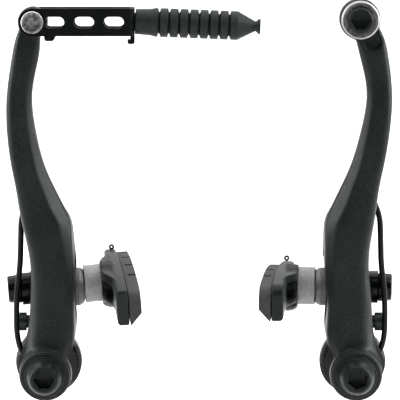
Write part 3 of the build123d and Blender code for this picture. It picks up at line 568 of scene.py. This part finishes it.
def holders():
    """Cast shoe holders with small soft edges, and a domed boss on the back that the spacer seats on."""
    seat_r, boss_r, depth, drop, steps = 5.5, 7.1, 3.7, 0.6, 8
    cell, passes = 0.28, 4
    for side, way in SIDES.items():
        node = f"{side}_shoe_holder"
        place, _, end = leaning(f"{side}_inner_spacer", -way)
        dome = []
        for step in range(steps + 1):
            turn = pi / 2 * step / steps
            dome.append((seat_r + (boss_r - seat_r) * sin(turn), end + depth * (1 - cos(turn)), 0))
        profile = [(0, end, 0), *dome, (0, dome[-1][1], 0)]
        boss = turned(node + "_boss", profile, Matrix.Translation((0, 0, -drop)) @ place)
        mesh = softened(node, cell, passes, lambda point, normal: 1.0, boss)
        finished(f"{side}_casting", mesh, HOLDER, f"{side}_lever", "holder_grey", node)


def spacers():
    """Thick spacers, hollow towards the domed washer, with a step there that leaves a groove."""
    bore, outer, step, groove, edge, dome, parts = 3.2, 5.5, 4.3, 0.5, 0.12, 10.6, 6
    hollow = [bore + (step - bore) * k / parts for k in range(parts + 1)]
    depth = [(dome * dome - r * r) ** 0.5 - (dome * dome - hollow[-1] ** 2) ** 0.5 for r in hollow]
    for side, way in SIDES.items():
        node = f"{side}_inner_spacer"
        place, start, end = leaning(node, -way)
        seat = [(r, start + deep, 0) for r, deep in zip(hollow, depth)]
        wall = start + groove
        body = [(step, wall, 0), (outer - edge, wall, 0), (outer, wall + edge, 0)]
        body += [(outer, end - edge, 0), (outer - edge, end, 0), (bore, end, 0)]
        mesh = turned(node, [*seat, *body, seat[0]], place, FINE)
        finished(f"{side}_spacer", mesh, SPACER, f"{side}_lever", "grey_spacer", node)


def shoe_nuts():
    """Round tapered nuts with a hex socket, along the axis of the solid ones."""
    rim, tip, bore, flat, short = 4.25, 3.95, 3.02, 3.2, 0.08
    for side, way in SIDES.items():
        node = f"{side}_shoe_nut"
        place, base, end = leaning(node, way)
        end -= short
        profile = [
            (bore, base, 0),
            (rim - 0.3, base, 0),
            (rim, base + 0.3, 0),
            (tip, end - 0.35, 0),
            (tip - 0.25, end, 0),
            (flat + 0.15, end, 0.6),
            (flat, end - 0.25, 1),
            (flat, end - 2.0, 1),
            (bore, end - 2.1, 0),
        ]
        mesh = turned(node, [*rounded(profile, 0.2), (bore, base, 0)], place)
        finished(f"{side}_nut", mesh, NUT_BLACK, f"{side}_lever", "black_steel", node)


def pivot_rings():
    """Front rings with soft edges."""
    bore = 4.03
    for side in SIDES:
        node = f"{side}_pivot_ring"
        x, _, z = middle_of(node)
        front, back = front_of(node), back_of(node)
        outer = radius_of(node)
        edge = [
            (bore, back, 0),
            (outer, back, 0),
            (outer, front - 0.3, 0),
            (outer - 0.4, front, 0),
            (bore, front, 0),
        ]
        mesh = turned(node, [*rounded(edge, 0.25), (bore, back, 0)], facing_front(x, z), FINE)
        finished(f"{side}_ring", mesh, RING, "pivots", "black_steel", node)


def rivet():
    """Link rivet: a dished front head with a raised rim that carries a painted highlight, and a plain back
    head.
    """
    shank_r = 2.2
    x, _, z = middle_of("link_rivet")
    front, back = front_of("link_rivet"), back_of("link_rivet")
    sheet_front, sheet_back = front_of("link_bracket"), back_of("link_bracket")
    head = radius_of("link_rivet")
    rear = [
        (0, back, 0),
        (head - 0.5, back, 0),
        (head, back + 0.5, 0),
        (head, sheet_back, 0),
        (shank_r, sheet_back, 0),
    ]
    face = [
        (shank_r, sheet_front, 0),
        (head, sheet_front, 0),
        (head, front - 0.35, 0),
        (head - 0.22, front, 0),
        (head - 0.48, front - 0.02, 0),
        (head - 0.66, front - 0.22, 0),
        (0, front - 0.16, 0),
    ]
    mesh = turned("rivet", [*rounded(rear, 0.2), *rounded(face, 0.12)], facing_front(x, z), FINE)
    finished("rivet", mesh, RIVET, "cable_link", "rivet_steel", "link_rivet")


def clamp_bolt():
    """Cable clamp's bolt: a low socket head in the dish, and a threaded tail behind the arm."""
    head_r, flat, shank_r, height, thread, turn = 3.66, 2.5, 3.0, 2.7, 0.4, 30.0
    x, _, z = middle_of("anchor_bolt")
    front, back = front_of("anchor_bolt"), back_of("anchor_bolt")
    seat = front - height
    head = [
        (shank_r, seat, 0),
        (head_r, seat, 0),
        (head_r, front - 0.5, 0),
        (head_r - 0.45, front, 0),
        (flat + 0.42, front, 0.35),
        (flat, front - 0.3, 1),
        (flat, front - 2.0, 1),
        (0.5, front - 2.25, 0),
        (0, front - 2.25, 0),
    ]
    tail = [(0, back, 0), (shank_r - 0.6, back, 0), *threaded(shank_r, thread, back + 0.2, seat - 1.0)]
    profile = [*tail, (shank_r, seat - 0.5, 0), *rounded(head, 0.3)]
    mesh = turned("clamp_bolt", profile, facing_front(x, z, turn), FINE)
    finished("clamp_bolt", mesh, BOLT, "right_lever", "black_steel", "anchor_bolt")


def boot_outline(tip_r):
    """Outer (length, radius) points of the boot from the sheet to its tip, with soft ribs."""
    neck_r, rib_r, groove_r, first, pitch, ribs = 3.6, 4.15, 3.05, 6.55, 2.87, 8
    points = [(0.25, neck_r), (4.6, neck_r + 0.2), (first - 0.5, rib_r)]
    for rib in range(ribs):
        start = first + pitch * rib
        points += [(start + 0.12, rib_r), (start + 0.36, groove_r), (start + 0.56, groove_r)]
        points += [(start + 0.95, rib_r), (start + pitch, rib_r)]
    cone = points[-1][0]
    return [*points, (cone + 5.2, 1.4), (cone + 6.0, 2.15), (cone + 6.6, 2.25), (cone + 6.6, tip_r)]


def boot():
    """Rubber bellows on the link's end, hollow, with its lip inside the sheet."""
    sheet, spigot, lip, bore, tip_r, hollow_r, droop = 1.2, 2.55, 3.0, 1.8, 0.9, 2.2, 2.3
    low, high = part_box("link_bracket")
    place = Matrix.Translation((high[0] / MM, (low[1] + high[1]) / 2 / MM, middle_of("link_rivet")[2]))
    place = place @ Matrix.Rotation(radians(90) + radians(droop), 4, "Y")
    root, shoulder = -sheet - 0.95, -sheet - 0.05
    skirt = [(root, bore), (root, lip), (-sheet - 0.35, lip), (shoulder, spigot + 0.1), (shoulder, spigot)]
    outline = [*skirt, (0.2, spigot), *boot_outline(tip_r)]
    end = outline[-1][0]
    inside = [(end - 6.6, tip_r), (end - 9.0, hollow_r), (2.1, hollow_r), (2.1, bore), (root, bore)]
    profile = [*rounded([(r, at, 0) for at, r in outline], 0.22, 3), *[(r, at, 0) for at, r in inside]]
    mesh = turned("boot", profile, place)
    finished("boot", mesh, BOOT, "cable_link", "boot_rubber", "cable_boot")


def return_springs():
    """Coil, tail and leg of each return spring in one wire, which follows the arm above its screw."""
    wire_r, coil_r, turns, steps_a_turn = 0.85, 6.05, 3, 40
    tail, start, plane, bend = 3.5, 6.75, 16.7, 3.0
    leg = [
        (coil_r, 0.0),
        (8.75, 9.5),
        (8.8, 17.0),
        (8.6, 23.0),
        (7.6, 31.0),
        (7.2, 45.0),
        (3.0, 54.5),
        (3.0, 57.5),
    ]
    steps = steps_a_turn * turns
    points = [(coil_r, tail, 0.0), (coil_r, start - 0.4, 0.0)]
    for k in range(1, steps):
        angle = tau * turns * k / steps
        points.append((coil_r * cos(angle), start + (plane - start) * k / steps, -coil_r * sin(angle)))
    points += rounded([(x, plane, z) for x, z in leg], bend, 6)
    for side, way in SIDES.items():
        node = f"{side}_return_spring"
        pivot = middle_of(f"{side}_pivot_bush")[0]
        placed = [(pivot + way * x, -y, z) for x, y, z in points]
        mesh = drawn_wire(node, placed, wire_r, SPRING)
        spring = finished(f"{side}_spring", mesh, SPRING, None, "black_steel", node)
        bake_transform(spring)


arms()
holders()
mounting_bolts()
spacers()
shoe_nuts()
pivot_rings()
rivet()
clamp_bolt()
boot()
return_springs()


# Studio: pale floor, soft lights, and the photograph's camera.


def floor():
    """Wide pale floor a little under the lowest point."""
    drop, half = 0.012, 40.0
    paint = Paint("floor", (0.9, 0.9, 0.9), 0.9)
    paint.feed("Roughness", 0.1 * paint.noise(3.0) + 0.85)
    mesh = bpy.data.meshes.new("floor")
    low = CAD_BOX[0][2] - drop
    corners = [(-half, -half, low), (half, -half, low), (half, half, low), (-half, half, low)]
    mesh.from_pydata(corners, [], [(0, 1, 2, 3)])
    mesh.materials.append(paint.material)
    ground = bpy.data.objects.new("floor", mesh)
    bpy.context.scene.collection.objects.link(ground)


def aimed(name, data, place, target):
    """A light or camera at a place, looking at a target."""
    holder = bpy.data.objects.new(name, data)
    holder.location = place
    holder.rotation_euler = (Vector(target) - Vector(place)).to_track_quat("-Z", "Y").to_euler()
    bpy.context.scene.collection.objects.link(holder)
    return holder


def lamp(name, place, target, width, length, power, spread=180.0):
    """Soft rectangular light aimed at a point."""
    data = bpy.data.lights.new(name, "AREA")
    data.shape = "RECTANGLE"
    data.size = width
    data.size_y = length
    data.energy = power
    data.spread = radians(spread)
    aimed(name, data, place, target)


def camera(place, target, lens):
    """Long lens in front of the brake, a little above it."""
    data = bpy.data.cameras.new("camera")
    data.lens = lens
    bpy.context.scene.camera = aimed("camera", data, place, target)


def sky(front, back):
    """White surroundings, dimmer on the camera's side so that dark metal shows its edges."""
    world = bpy.data.worlds.new("studio")
    shader = Shader(world)
    way = shader.add("ShaderNodeTexCoord", out="Generated")
    depth = shader.add("ShaderNodeSeparateXYZ", way, out=1)
    strength = shader.add("ShaderNodeMapRange", depth, -1.0, 0.2, front, back)
    light = shader.tree.nodes["Background"]
    light.inputs["Color"].default_value = (1.0, 1.0, 1.0, 1.0)
    shader.tree.links.new(strength.socket, light.inputs["Strength"])
    bpy.context.scene.world = world


def studio():
    """Floor, lights, sky and camera."""
    narrow = 60.0
    middle = (0.0, -0.015, 0.05)
    floor()
    lamp("overhead", (0.0, 0.7, 3.0), (0.0, 0.7, 0.0), width=6.0, length=6.0, power=300.0)
    lamp("back", (0.2, 1.6, 0.42), middle, width=1.2, length=0.3, power=0.1, spread=narrow)
    for way, power in ((-1, 0.35), (1, 0.8)):
        lamp("upper", (0.62 * way, -0.12, 0.46), middle, width=0.3, length=0.5, power=power, spread=narrow)
        lamp("strip", (0.8 * way, 0.1, 0.22), middle, width=0.1, length=0.7, power=1.1, spread=narrow)
    sky(front=0.08, back=0.6)
    bpy.context.scene.view_settings.view_transform = "Standard"
    camera(place=(-0.0002, -0.918, 0.160), target=(-0.0002, -0.018, 0.0498), lens=281.0)


studio()
